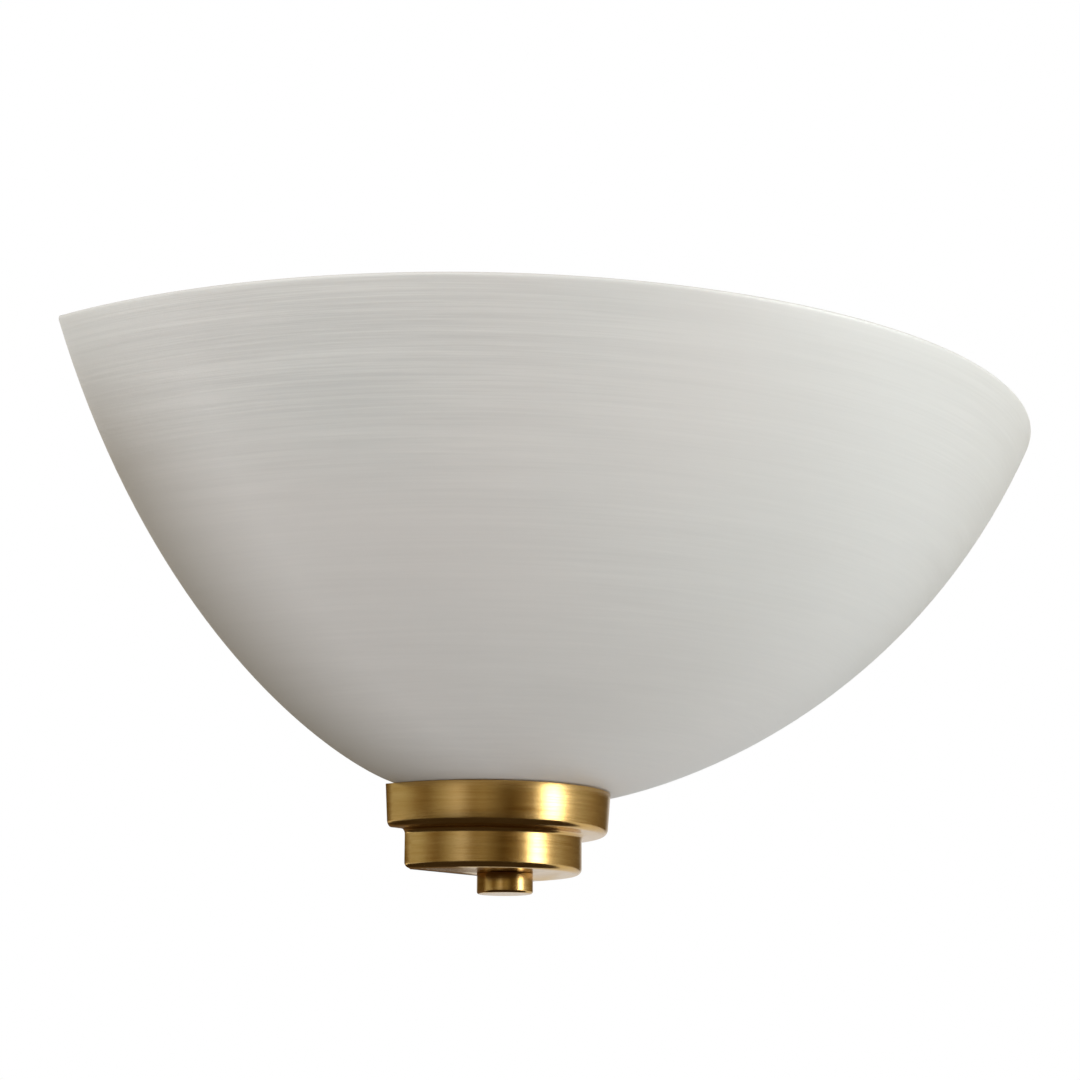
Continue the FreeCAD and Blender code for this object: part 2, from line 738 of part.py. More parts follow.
def lead(name, route):
    """A round wire along straight runs joined by tangent arcs as large as the runs allow."""
    points = [vec(*place) for place in route]
    edges = []
    radii = []
    last = points[0]
    for index in range(1, len(points) - 1):
        here = points[index]
        before = points[index - 1] - here
        after = points[index + 1] - here
        run = 0.45 * min(before.Length, after.Length)
        half = before.getAngle(after) / 2
        radii.append(run * math.tan(half))
        start = here + before.normalize() * run
        end = here + after.normalize() * run
        inwards = (before + after).normalize()
        middle = here + inwards * (radii[-1] / math.sin(half) - radii[-1])
        edges.append(Part.LineSegment(last, start).toShape())
        edges.append(Part.Arc(start, middle, end).toShape())
        last = end
    edges.append(Part.LineSegment(last, points[-1]).toShape())
    path = Part.Wire(edges)
    direction = points[1] - points[0]
    section = Part.Wire([Part.Circle(points[0], direction, lead_radius).toShape()])
    tube = path.makePipeShell([section], True, False)
    share = tube.Volume / (math.pi * lead_radius ** 2 * path.Length)
    print(f"{name}: length {path.Length:.1f}, least radius {min(radii):.1f}, volume share {share:.4f}")
    return tube


def lamp_lead(name, pole, side):
    """From a terminal, over the bracket and round into the hollow nipple of the holder."""
    level = lamp_z + side * lead_spacing / 2
    over_z = level + bracket_half_width + lead_over_bracket
    start_z = block_z + pole
    wire_y = -sheet - tube_centre
    loop_x = bracket_x + nipple_tail_x - lead_loop_reach
    bulge = lead_loop_bulge
    end_x = bracket_x + insert_start + insert_thickness / 2
    return lead(name, [(block_x - lead_depth, wire_y, start_z),
                       (block_x - pole_length / 2 - lead_exit, wire_y, start_z),
                       (bracket_x + foot_reach, wire_y, over_z),
                       (bracket_x - bulge, wire_y - bulge / 2, over_z + lead_loop_rise),
                       (loop_x - bulge / 2, lamp_y + 4 * bulge, over_z - 2 * lead_loop_rise),
                       (loop_x - bulge, lamp_y + 1.6 * bulge, level + 0.7 * bulge),
                       (loop_x, lamp_y, level), (end_x, lamp_y, level)])


def earth_lead():
    wire_y = -sheet - tube_centre
    barrel_y = -sheet - earth_washer_thickness - tag_barrel_radius
    start_z = block_z + poles[0]
    turn = math.radians(tag_turn)

    def along_tag(distance, y):
        return (earth_x + distance * math.sin(turn), y, earth_z + distance * math.cos(turn))

    corner = along_tag((start_z - earth_z) / math.cos(turn), wire_y)
    return lead("earth_lead", [(block_x - lead_depth, wire_y, start_z), corner,
                               along_tag(tag_length + 3, barrel_y),
                               along_tag(tag_length - tag_barrel_length / 2, barrel_y)])


pieces = {
    "glass_shade": glass_shade,
    "base_cap": base_cap,
    "cap_gasket": cap_gasket,
    "finial_knob": finial_knob,
    "fixing_rod": fixing_rod,
    "rod_nuts": rod_nuts,
    "seat_pad": lambda: clamp_disc(pad_radius, pad_thickness, seat_z),
    "clamp_washer": lambda: clamp_disc(clamp_radius, clamp_thickness, clamp_z),
    "back_plate": back_plate,
    "cable_bush": cable_bush,
    "holder_bracket": holder_bracket,
    "bracket_rivets": bracket_rivets,
    "holder_nipple": holder_nipple,
    "nipple_nut": nipple_nut,
    "nipple_washer": nipple_washer,
    "holder_cap": holder_cap,
    "holder_sleeve": holder_sleeve,
    "holder_insert": holder_insert,
    "holder_shell": holder_shell,
    "holder_contact": holder_contact,
    "lamp_globe": lamp_globe,
    "lamp_cap": lamp_cap,
    "lamp_insulator": lamp_insulator,
    "lamp_contact": lamp_contact,
    "terminal_block": terminal_block,
    "terminal_tubes": terminal_tubes,
    "terminal_screws": terminal_screws,
    "block_screw": block_screw,
    "earth_washer": earth_washer,
    "earth_tag": earth_tag,
    "earth_screw": earth_screw,
    "live_lead": lambda: lamp_lead("live_lead", poles[2], 1),
    "neutral_lead": lambda: lamp_lead("neutral_lead", poles[1], -1),
    "earth_lead": earth_lead,
}

os.makedirs("parts", exist_ok=True)
for name, build in pieces.items():
    shape = build()
    size = shape.BoundBox
    print(f"{name}: {len(shape.Solids)} solid(s), valid {shape.isValid()}, volume {shape.Volume:.0f}, "
          f"x {size.XMin:.1f} {size.XMax:.1f}, y {size.YMin:.1f} {size.YMax:.1f}, "
          f"z {size.ZMin:.1f} {size.ZMax:.1f}")
    shape.exportStep(f"parts/{name}.step")
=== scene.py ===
import json
import math

import bpy
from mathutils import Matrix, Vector


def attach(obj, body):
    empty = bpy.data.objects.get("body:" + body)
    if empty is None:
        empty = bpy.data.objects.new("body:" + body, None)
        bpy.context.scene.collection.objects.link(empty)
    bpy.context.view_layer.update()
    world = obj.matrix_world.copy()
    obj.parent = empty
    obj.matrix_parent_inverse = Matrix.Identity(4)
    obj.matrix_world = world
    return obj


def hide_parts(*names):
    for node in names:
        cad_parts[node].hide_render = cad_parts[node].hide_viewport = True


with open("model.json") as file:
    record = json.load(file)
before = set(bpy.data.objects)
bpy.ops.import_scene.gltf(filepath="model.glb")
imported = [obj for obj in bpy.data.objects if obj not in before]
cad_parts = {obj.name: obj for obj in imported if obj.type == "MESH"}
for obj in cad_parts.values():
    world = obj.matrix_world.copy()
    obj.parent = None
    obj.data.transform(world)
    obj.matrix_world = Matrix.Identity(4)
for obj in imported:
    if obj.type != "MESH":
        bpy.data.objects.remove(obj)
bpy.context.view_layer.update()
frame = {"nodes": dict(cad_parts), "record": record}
print("frame loaded:", len(frame["nodes"]), "nodes")


# camera first: it stands low and to the left of the light, and looks up at it
photoView = {"turn": 53.21, "tilt": -13.10, "distance": 0.6266,
             "target": (0.0358, -0.0025, 0.01845), "lens": 73.29, "shiftX": -0.0185}


def addCamera(view):
    turn = math.radians(view["turn"])
    tilt = math.radians(view["tilt"])
    forward = Vector((math.sin(turn) * math.cos(tilt), math.cos(turn) * math.cos(tilt), -math.sin(tilt)))
    bpy.ops.object.camera_add(location=Vector(view["target"]) - forward * view["distance"],
                              rotation=forward.to_track_quat("-Z", "Y").to_euler())
    camera = bpy.context.object
    camera.name = "photoCamera"
    camera.data.lens = view["lens"]
    camera.data.sensor_width = 36
    camera.data.shift_x = view["shiftX"]
    camera.data.clip_start = 0.01
    bpy.context.scene.camera = camera


addCamera(photoView)
print("camera placed")


# shader maths: an expression on values adds its own Math nodes
class Value:
    def __init__(self, finish, socket):
        self.finish = finish
        self.socket = socket

    def maths(self, operation, *others):
        return self.finish.maths(operation, self, *others)

    def __add__(self, other):
        return self.maths("ADD", other)

    def __radd__(self, other):
        return self.finish.maths("ADD", other, self)

    def __sub__(self, other):
        return self.maths("SUBTRACT", other)

    def __rsub__(self, other):
        return self.finish.maths("SUBTRACT", other, self)

    def __mul__(self, other):
        return self.maths("MULTIPLY", other)

    def __rmul__(self, other):
        return self.finish.maths("MULTIPLY", other, self)

    def __truediv__(self, other):
        return self.maths("DIVIDE", other)

    def __rtruediv__(self, other):
        return self.finish.maths("DIVIDE", other, self)


class Finish:
    def __init__(self, name, shader="ShaderNodeBsdfPrincipled", world=None):
        self.material = world or bpy.data.materials.new(name)
        self.material.use_nodes = True
        self.tree = self.material.node_tree
        self.tree.nodes.clear()
        self.output = self.tree.nodes.new("ShaderNodeOutputWorld" if world else "ShaderNodeOutputMaterial")
        self.shader = self.tree.nodes.new(shader)
        self.tree.links.new(self.shader.outputs[0], self.output.inputs["Surface"])

    def node(self, kind, settings=None, inputs=None, output=0):
        made = self.tree.nodes.new(kind)
        for key, value in (settings or {}).items():
            if key == "stops":
                ramp = made.color_ramp
                while len(ramp.elements) < len(value):
                    ramp.elements.new(0.5)
                for element, (position, colour) in zip(ramp.elements, value):
                    element.position = position
                    element.color = (*colour, 1) if len(colour) == 3 else colour
            else:
                setattr(made, key, value)
        for key, value in (inputs or {}).items():
            self.feed(made.inputs[key], value)
        return Value(self, made.outputs[output])

    def maths(self, operation, *values):
        return self.node("ShaderNodeMath", {"operation": operation}, dict(enumerate(values)))

    def feed(self, socket, value):
        if isinstance(value, Value):
            self.tree.links.new(value.socket, socket)
        else:
            socket.default_value = value

    def set(self, **values):
        for key, value in values.items():
            self.feed(self.shader.inputs[key.replace("_", " ")], value)

    def place(self, shift=(0, 0, 0)):
        spot = self.node("ShaderNodeTexCoord", output="Object")
        return self.node("ShaderNodeMapping", inputs={"Vector": spot, "Location": shift})

    def axes(self):
        spot = self.node("ShaderNodeTexCoord", output="Object")
        split = self.node("ShaderNodeSeparateXYZ", inputs={0: spot}).socket.node
        return [Value(self, socket) for socket in split.outputs]

    def ray(self, kind):
        return self.node("ShaderNodeLightPath", output=kind)

    def noise(self, vector, scale, detail=2.0, rough=0.5):
        return self.node("ShaderNodeTexNoise", inputs={"Vector": vector, "Scale": scale, "Detail": detail,
                                                       "Roughness": rough}, output="Fac")

    def ramp(self, value, stops):
        return self.node("ShaderNodeValToRGB", {"stops": stops}, {"Fac": value})

    def span(self, value, low, high, least=0.0, most=1.0):
        inputs = {"Value": value, "From Min": low, "From Max": high, "To Min": least, "To Max": most}
        return self.node("ShaderNodeMapRange", {"clamp": True}, inputs)

    def mix(self, share, first, second):
        # the colour mix: its sockets 6 and 7 are the two colours and its output 2 the result
        return self.node("ShaderNodeMix", {"data_type": "RGBA"}, {0: share, 6: first, 7: second}, 2)

    def bump(self, height, distance, strength):
        return self.node("ShaderNodeBump", inputs={"Height": height, "Distance": distance,
                                                   "Strength": strength})


def rgb(red, green, blue):
    return (red, green, blue, 1.0)


# streaks that run round a vertical axis: angle and height, drawn out along the angle
def ringSpot(finish, centre, along, across):
    x, y, z = finish.axes()
    angle = (y - centre[1]).maths("ARCTAN2", x - centre[0])
    return finish.node("ShaderNodeCombineXYZ", inputs={0: angle * along, 1: z * across})


# how the glass is coloured and streaked; aside runs to the right of the photo, across the piece
glassLook = {"base": rgb(0.775, 0.750, 0.705), "cool": rgb(0.740, 0.768, 0.738),
             "warm": rgb(0.800, 0.755, 0.712), "edge": rgb(0.40, 0.36, 0.30), "roughness": 0.42,
             "asideX": 0.6, "asideY": 0.8,
             # coolFrom and coolTo place the painted greener tint on the lamp-lit side
             "tintScale": 13, "tintShift": (3, 1, 2), "coolFrom": 0.015, "coolTo": 0.100,
             "streak": 0.085, "fine": (3.5, 1500), "broad": (2, 330), "patchScale": 11,
             "streakFoot": -0.012, "streakTop": 0.018, "streakLeft": (-0.100, -0.050),
             "streakRight": (0.055, 0.0),
             # edge is the dark colour of the rim top and of the painted shade at the wall, which the back
             # keys place
             "rim": 0.0345, "rimBand": 0.0003, "rimShare": 0.5, "back": -0.034, "backEnd": -0.0025,
             "backTop": 0.030, "backFoot": 0.004, "backLeast": 0.3, "bump": 0.00004, "depth": 0.004}


def shadeGlassFinish():
    look = glassLook
    finish = Finish("shadeGlass")
    x, y, z = finish.axes()
    aside = x * look["asideX"] - y * look["asideY"]
    fine = finish.noise(ringSpot(finish, (0, 0), *look["fine"]), 1.0, 3, 0.6)
    broad = finish.noise(ringSpot(finish, (0, 0), *look["broad"]), 1.0, 2, 0.5)
    streaks = finish.span(fine, 0.36, 0.66, -1, 1) * 0.6 + finish.span(broad, 0.38, 0.64, -1, 1) * 0.4
    # streaks show most high up and to the left, and faintly in patches elsewhere
    patch = finish.span(finish.noise(finish.place(), look["patchScale"], 2), 0.42, 0.66) * 0.2
    high = finish.span(z, look["streakFoot"], look["streakTop"])
    fromRight = finish.span(aside, *look["streakRight"])
    fromLeft = finish.span(aside, *look["streakLeft"])
    patch = patch + high * fromRight * fromLeft * 0.85
    # the glass has clouds of a slightly greener and a slightly pinker tone, and painted light: a greener
    # tint on the side the key lamp lights
    cloud = finish.noise(finish.place(shift=look["tintShift"]), look["tintScale"], 1)
    tint = finish.span(cloud, 0.35, 0.65)
    side = finish.span(aside, look["coolFrom"], look["coolTo"])
    base = finish.mix(tint * 0.5 + 0.4, look["cool"], look["warm"])
    base = finish.mix(side * 0.9, base, look["cool"])
    base = finish.mix(0.35, base, look["base"])
    shade = streaks * (patch * 0.8 + 0.2) * look["streak"]
    light = finish.node("ShaderNodeVectorMath", {"operation": "SCALE"}, {0: base, "Scale": shade + 1.0})
    # darker along the top of the rim, and painted shade where the glass meets the wall, fading up the glass
    rimShare = finish.span(z, look["rim"], look["rim"] + look["rimBand"]) * look["rimShare"]
    backShadeShare = finish.span(y, look["back"], look["backEnd"]).maths("POWER", 1.4)
    backShadeShare = backShadeShare * finish.span(z, look["backTop"], look["backFoot"], look["backLeast"], 1.0)
    light = finish.mix(rimShare.maths("MAXIMUM", backShadeShare), light, look["edge"])
    finish.set(Base_Color=light, Roughness=patch * -0.06 + look["roughness"] + streaks * 0.03,
               Normal=finish.bump(streaks * (patch * 0.7 + 0.3), look["bump"], 0.6),
               Subsurface_Weight=0.12, Subsurface_Scale=look["depth"],
               Subsurface_Radius=(1.0, 0.9, 0.8), IOR=1.5)
    return finish.material


def brassFinish(name, centre):
    look = {"deep": rgb(0.54, 0.31, 0.085), "pale": rgb(0.76, 0.52, 0.21), "roughness": 0.19,
            "lines": (3, 9000), "bands": (1.2, 900), "cloud": 60, "bump": 0.00002}
    finish = Finish(name)
    lines = finish.noise(ringSpot(finish, centre, *look["lines"]), 1.0, 3, 0.65)
    bands = finish.noise(ringSpot(finish, centre, *look["bands"]), 1.0, 2, 0.5)
    cloud = finish.noise(finish.place(), look["cloud"], 3, 0.6)
    tone = finish.span(lines * 0.5 + bands * 0.25 + cloud * 0.25, 0.36, 0.64)
    finish.set(Base_Color=finish.mix(tone, look["deep"], look["pale"]), Metallic=1.0,
               Roughness=tone * 0.09 + look["roughness"] - 0.045,
               Normal=finish.bump(lines, look["bump"], 0.5))
    return finish.material


# a plain finish: one colour with a fine grain and broad clouds, spread is how far they lighten or darken it
def plainFinish(name, colour, spread, roughness, metallic=0.0, grain=400, bump=0.00002):
    finish = Finish(name)
    speck = finish.noise(finish.place(), grain, 4, 0.6)
    cloud = finish.noise(finish.place(), 35, 3, 0.55)
    tone = finish.span(speck * 0.5 + cloud * 0.5, 0.35, 0.65)
    dark = rgb(*(channel * (1 - spread) for channel in colour))
    light = rgb(*(min(1.0, channel * (1 + spread)) for channel in colour))
    finish.set(Base_Color=finish.mix(tone, dark, light), Metallic=metallic,
               Roughness=tone * 0.12 + roughness - 0.06, Normal=finish.bump(speck, bump, 0.5))
    return finish.material


finishes = {
    "shade_glass": shadeGlassFinish(),
    "antique_brass": brassFinish("antiqueBrass", (0, -0.0025)),
    "white_silicone": plainFinish("whiteSilicone", (0.78, 0.77, 0.73), 0.04, 0.55),
    "zinc_steel": plainFinish("zincSteel", (0.62, 0.63, 0.65), 0.12, 0.32, 1.0, 900),
    "white_paint": plainFinish("whitePaint", (0.80, 0.80, 0.78), 0.03, 0.42, 0.0, 1500, 0.00003),
    "black_rubber": plainFinish("blackRubber", (0.03, 0.03, 0.03), 0.3, 0.6),
    "holder_plastic": plainFinish("holderPlastic", (0.78, 0.77, 0.72), 0.04, 0.38, 0.0, 1800, 0.00003),
    "insert_ceramic": plainFinish("insertCeramic", (0.82, 0.81, 0.77), 0.05, 0.22),
    "nickel_plate": plainFinish("nickelPlate", (0.70, 0.67, 0.60), 0.10, 0.25, 1.0, 700),
    "contact_brass": plainFinish("contactBrass", (0.78, 0.58, 0.28), 0.12, 0.28, 1.0, 800),
    "lamp_glass": plainFinish("lampGlass", (0.84, 0.84, 0.82), 0.01, 0.30, 0.0, 2500, 0.000004),
    "lamp_cap_metal": plainFinish("lampCapMetal", (0.72, 0.72, 0.71), 0.10, 0.30, 1.0, 700),
    "black_insulator": plainFinish("blackInsulator", (0.02, 0.02, 0.02), 0.4, 0.12),
    "solder_tip": plainFinish("solderTip", (0.55, 0.55, 0.56), 0.15, 0.38, 1.0, 900),
    "terminal_plastic": plainFinish("terminalPlastic", (0.78, 0.78, 0.73), 0.03, 0.40),
    "brown_lead": plainFinish("brownLead", (0.16, 0.07, 0.035), 0.15, 0.45),
    "blue_lead": plainFinish("blueLead", (0.035, 0.13, 0.42), 0.12, 0.45),
    "green_yellow_lead": plainFinish("greenYellowLead", (0.35, 0.50, 0.05), 0.12, 0.45),
}
for part in frame["record"]["subparts"]:
    node = frame["nodes"][part["node"]]
    node.data.materials.clear()
    node.data.materials.append(finishes[part["material_slot"]])
print("finishes made:", len(finishes))


def selectOnly(piece):
    bpy.ops.object.select_all(action="DESELECT")
    bpy.context.view_layer.objects.active = piece
    piece.select_set(True)


# edit-mode helpers: everything is deselected first, then picked by place
def editOn(piece):
    selectOnly(piece)
    bpy.ops.object.mode_set(mode="EDIT")


def editOff():
    bpy.ops.object.mode_set(mode="OBJECT")


def pick(piece, kind, test):
    bpy.ops.mesh.select_mode(type=kind)
    bpy.ops.mesh.select_all(action="DESELECT")
    editOff()
    mesh = piece.data
    if kind == "VERT":
        for vertex in mesh.vertices:
            vertex.select = bool(test(vertex.co))
    elif kind == "EDGE":
        for edge in mesh.edges:
            edge.select = bool(test(*(mesh.vertices[index].co for index in edge.vertices)))
    else:
        for face in mesh.polygons:
            face.select = bool(test(face.center, face.normal))
    bpy.ops.object.mode_set(mode="EDIT")


def cutAway(point, normal, fill=False):
    # keeps what lies behind the plane
    bpy.ops.mesh.select_all(action="SELECT")
    bpy.ops.mesh.bisect(plane_co=point, plane_no=normal, clear_outer=True, use_fill=fill)


def modify(piece, kind, **settings):
    selectOnly(piece)
    added = piece.modifiers.new(kind.title(), kind)
    for key, value in settings.items():
        setattr(added, key, value)
    bpy.ops.object.modifier_apply(modifier=added.name)


def finishPiece(piece, name, body, slot, angle):
    selectOnly(piece)
    bpy.ops.object.transform_apply(location=True, rotation=True, scale=True)
    bpy.ops.object.shade_smooth_by_angle(angle=math.radians(angle))
    piece.name = name
    piece.data.name = name
    piece.data.materials.clear()
    piece.data.materials.append(finishes[slot])
    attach(piece, body)
    return piece


def outwards():
    bpy.ops.mesh.select_all(action="SELECT")
    bpy.ops.mesh.remove_doubles(threshold=1e-6)
    bpy.ops.mesh.normals_make_consistent(inside=False)


def flipFaces(piece):
    editOn(piece)
    bpy.ops.mesh.select_all(action="SELECT")
    bpy.ops.mesh.flip_normals()
    editOff()


def profile(knots, spotAt, smoothness):
    # each knot: its place, the way of the curve there, and the reach of its two handles
    bpy.ops.curve.primitive_bezier_curve_add(location=(0, 0, 0))
    curve = bpy.context.object
    spline = curve.data.splines[0]
    spline.bezier_points.add(len(knots) - 2)
    for point, (place, way, before, after) in zip(spline.bezier_points, knots):
        point.handle_left_type = point.handle_right_type = "FREE"
        spot = spotAt(place)
        along = Vector((way[0], 0, way[1]))
        point.co = spot
        point.handle_left = spot - along * before
        point.handle_right = spot + along * after
    spline.resolution_u = smoothness
    curve.data.dimensions = "3D"
    selectOnly(curve)
    bpy.ops.object.convert(target="MESH")
    return bpy.context.object


def cutHole(piece, radius, centre, depth, openBack=False):
    bpy.ops.mesh.primitive_cylinder_add(vertices=96, radius=radius, depth=depth, location=centre)
    cutter = bpy.context.object
    bpy.ops.object.transform_apply(location=True, rotation=False, scale=False)
    if openBack:
        # the cutter's back half is drawn out past the wall, so the hole is a notch that is open behind
        editOn(cutter)
        pick(cutter, "VERT", lambda co: co.y > centre[1] + 1e-5)
        bpy.ops.transform.resize(value=(1, 0, 1), center_override=(0, radius, 0))
        editOff()
    modify(piece, "BOOLEAN", object=cutter, operation="DIFFERENCE", solver="EXACT")
    bpy.data.objects.remove(cutter)


# shade: one side curve, spun half a turn, drawn in to a flat back edge and given its thickness
shadeDims = {"rimRadius": 0.150, "rimHeight": 0.035, "rimSlope": 64.7, "rimPull": 0.0756,
             "neckRadius": 0.036, "neckHeight": -0.0574, "neckSlope": 9.0, "neckPull": 0.0202,
             "seatRadius": 0.026, "wall": 0.004, "backGap": 0.0025, "edgeRound": 0.0005, "rimRound": 0.0014,
             "notchRadius": 0.00605, "notchFromWall": 0.0114, "spare": 0.004, "seatPull": 0.002,
             "smoothness": 40, "steps": 144}


def makeShade():
    d = shadeDims
    slope = math.radians(d["rimSlope"])
    neck = math.radians(d["neckSlope"])
    bend = (d["neckRadius"] - d["seatRadius"]) / math.sin(neck)
    seatHeight = d["neckHeight"] - bend * (1 - math.cos(neck))
    rimWay = (-math.cos(slope), -math.sin(slope))
    neckWay = (-math.cos(neck), -math.sin(neck))
    knots = [((d["rimRadius"], d["rimHeight"]), rimWay, d["rimPull"], d["rimPull"]),
             ((d["neckRadius"], d["neckHeight"]), neckWay, d["neckPull"], bend * neck / 3),
             ((d["seatRadius"], seatHeight), (-1, 0), bend * neck / 3, d["seatPull"])]
    shade = profile(knots, lambda place: Vector((place[0], 0, place[1])), d["smoothness"])
    editOn(shade)
    pick(shade, "VERT", lambda co: co.z > d["rimHeight"] - 1e-6)
    beyond = (math.cos(slope) * d["spare"], 0, math.sin(slope) * d["spare"])
    bpy.ops.mesh.extrude_region_move(TRANSFORM_OT_translate={"value": beyond})
    bpy.ops.mesh.select_all(action="SELECT")
    bpy.ops.mesh.spin(steps=d["steps"], angle=math.pi, center=(0, 0, 0), axis=(0, 0, 1))
    outwards()
    editOff()
    # the half turn is drawn in a little, so its back edge lies in one plane, clear of the wall
    for vertex in shade.data.vertices:
        radius = math.hypot(vertex.co.x, vertex.co.y)
        drawnIn = math.asin(d["backGap"] / radius)
        angle = math.atan2(abs(vertex.co.y), vertex.co.x)
        angle = drawnIn + angle * (1 - 2 * drawnIn / math.pi)
        vertex.co.x = radius * math.cos(angle)
        vertex.co.y = -radius * math.sin(angle)
    editOn(shade)
    pick(shade, "VERT", lambda co: math.hypot(co.x, co.y) < d["seatRadius"] + 1e-5)
    bpy.ops.mesh.edge_face_add()
    bpy.ops.mesh.select_all(action="SELECT")
    bpy.ops.mesh.normals_make_consistent(inside=False)
    editOff()
    outside = sum(face.normal.dot(face.center) * face.area for face in shade.data.polygons)
    if outside < 0:
        flipFaces(shade)
    modify(shade, "SOLIDIFY", thickness=d["wall"], offset=-1, use_even_offset=True)
    cutHole(shade, d["notchRadius"], (0, -d["notchFromWall"], seatHeight + d["wall"] / 2), 0.02, True)
    editOn(shade)
    cutAway((0, 0, d["rimHeight"]), (0, 0, 1), True)
    # the rim's own short edges, not the long one that closes it nor those across the glass at the wall
    pick(shade, "EDGE", lambda a, b: min(a.z, b.z) > d["rimHeight"] - 1e-6
         and (a - b).length < d["rimRadius"] * 0.03 and not min(a.y, b.y) > -0.003)
    bpy.ops.mesh.bevel(offset=d["rimRound"], segments=6, affect="EDGES")
    editOff()
    modify(shade, "BEVEL", width=d["edgeRound"], segments=4, limit_method="ANGLE",
           angle_limit=math.radians(50))
    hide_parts("glass_shade")
    return finishPiece(shade, "shadeGlass", "shade", "shade_glass", 40)


# cap: a half disc raised in two steps, carried straight back to the wall and given its thickness
capDims = {"centreY": -0.0025, "backY": -0.0003, "lowerRadius": 0.02715, "upperRadius": 0.03395,
           "rimRadius": 0.0348, "floorHeight": -0.0785, "stepHeight": -0.0684, "topHeight": -0.0576,
           "edgeRound": 0.0016, "stepRound": 0.0013, "wall": 0.0012, "holeRadius": 0.0053,
           "holeFromWall": 0.0114, "breakEdge": 0.0002, "spare": 0.006, "sides": 192}


def makeCap():
    d = capDims
    bpy.ops.mesh.primitive_circle_add(vertices=d["sides"], radius=d["lowerRadius"], fill_type="NGON",
                                      location=(0, d["centreY"], d["floorHeight"]))
    cap = bpy.context.object
    bpy.ops.object.transform_apply(location=True, rotation=False, scale=False)
    editOn(cap)
    cutAway((0, d["centreY"], 0), (0, 1, 0))
    pick(cap, "EDGE", lambda a, b: min(a.y, b.y) > d["centreY"] - 1e-6)
    bpy.ops.mesh.extrude_region_move(TRANSFORM_OT_translate={"value": (0, d["spare"], 0)})
    back = d["centreY"] + d["spare"] - 0.0001

    def asideOf(co):
        return abs(co.x) if co.y > d["centreY"] else math.hypot(co.x, co.y - d["centreY"])

    def isRim(a, b):
        radius = d["lowerRadius"]
        across = abs(a.x - b.x) > radius
        return not across and not min(a.y, b.y) > back and min(asideOf(a), asideOf(b)) > radius - 1e-6

    def ringAt(height, ringRadius):
        return lambda a, b: all(abs(co.z - height) < 1e-5 and abs(asideOf(co) - ringRadius) < 1e-4
                                for co in (a, b))

    def raiseRim(height, share=1):
        bpy.ops.mesh.extrude_edges_move(TRANSFORM_OT_translate={"value": (0, 0, height)})
        if share != 1:
            bpy.ops.transform.resize(value=(share, share, 1), center_override=(0, d["centreY"], 0))

    pick(cap, "EDGE", isRim)
    raiseRim(d["stepHeight"] - d["floorHeight"])
    raiseRim(0, d["upperRadius"] / d["lowerRadius"])
    raiseRim(d["topHeight"] - d["stepHeight"], d["rimRadius"] / d["upperRadius"])
    cutAway((0, d["backY"], 0), (0, 1, 0))
    outwards()
    editOff()
    facing = sum(face.normal.z for face in cap.data.polygons if face.center.z < d["floorHeight"] + 1e-5)
    if facing > 0:
        flipFaces(cap)
    wall = d["wall"]
    modify(cap, "SOLIDIFY", thickness=wall, offset=-1, use_even_offset=True)
    cutHole(cap, d["holeRadius"], (0, -d["holeFromWall"], d["floorHeight"]), 0.01)
    editOn(cap)
    # the bends of the pressing: three outside, then the same three inside
    bends = [(d["floorHeight"], d["lowerRadius"], d["edgeRound"]),
             (d["stepHeight"], d["lowerRadius"], d["stepRound"]),
             (d["stepHeight"], d["upperRadius"], d["edgeRound"]),
             (d["floorHeight"] + wall, d["lowerRadius"] - wall, d["edgeRound"] - wall),
             (d["stepHeight"] + wall, d["lowerRadius"] - wall, d["stepRound"] + wall),
             (d["stepHeight"] + wall, d["upperRadius"] - wall, d["edgeRound"] - wall)]
    for height, ringRadius, width in bends:
        pick(cap, "EDGE", ringAt(height, ringRadius))
        bpy.ops.mesh.bevel(offset=width, segments=8, profile=0.5, affect="EDGES")
    editOff()
    modify(cap, "BEVEL", width=d["breakEdge"], segments=2, limit_method="ANGLE",
           angle_limit=math.radians(60))
    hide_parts("base_cap")
    return finishPiece(cap, "baseCap", "shade", "antique_brass", 35)


# knob: a turned brass button with a broken lower edge, bored for the rod
knobDims = {"radius": 0.0073, "bottom": -0.0838, "top": -0.0785, "fromWall": 0.0114, "edge": 0.0007,
            "bore": 0.005, "boreDepth": 0.0038, "landWidth": 0.0004, "dishWidth": 0.003,
            "dishDepth": 0.00012, "sides": 128}


def makeKnob():
    d = knobDims
    centre = (0, -d["fromWall"], (d["top"] + d["bottom"]) / 2)
    height = d["top"] - d["bottom"]
    bpy.ops.mesh.primitive_cylinder_add(vertices=d["sides"], radius=d["radius"], depth=height,
                                        end_fill_type="NGON", location=centre)
    knob = bpy.context.object
    bpy.ops.object.transform_apply(location=True, rotation=False, scale=False)
    editOn(knob)
    pick(knob, "EDGE", lambda a, b: max(a.z, b.z) < d["bottom"] + 1e-6)
    bpy.ops.mesh.bevel(offset=d["edge"], segments=6, affect="EDGES")
    pick(knob, "EDGE", lambda a, b: min(a.z, b.z) > d["top"] - 1e-6)
    bpy.ops.mesh.bevel(offset=d["edge"] / 3, segments=3, affect="EDGES")
    pick(knob, "FACE", lambda centre, normal: normal.z > 0.99 and centre.z > d["top"] - 1e-6)
    bpy.ops.mesh.inset(thickness=d["radius"] - d["edge"] / 3 - d["bore"])
    bpy.ops.mesh.extrude_region_move(TRANSFORM_OT_translate={"value": (0, 0, -d["boreDepth"])})
    pick(knob, "FACE", lambda centre, normal: normal.z < -0.99 and centre.z < d["bottom"] + 1e-5)
    bpy.ops.mesh.inset(thickness=d["landWidth"])
    bpy.ops.mesh.inset(thickness=d["dishWidth"])
    bpy.ops.transform.translate(value=(0, 0, d["dishDepth"]))
    editOff()
    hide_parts("finial_knob")
    return finishPiece(knob, "finialKnob", "knob", "antique_brass", 35)


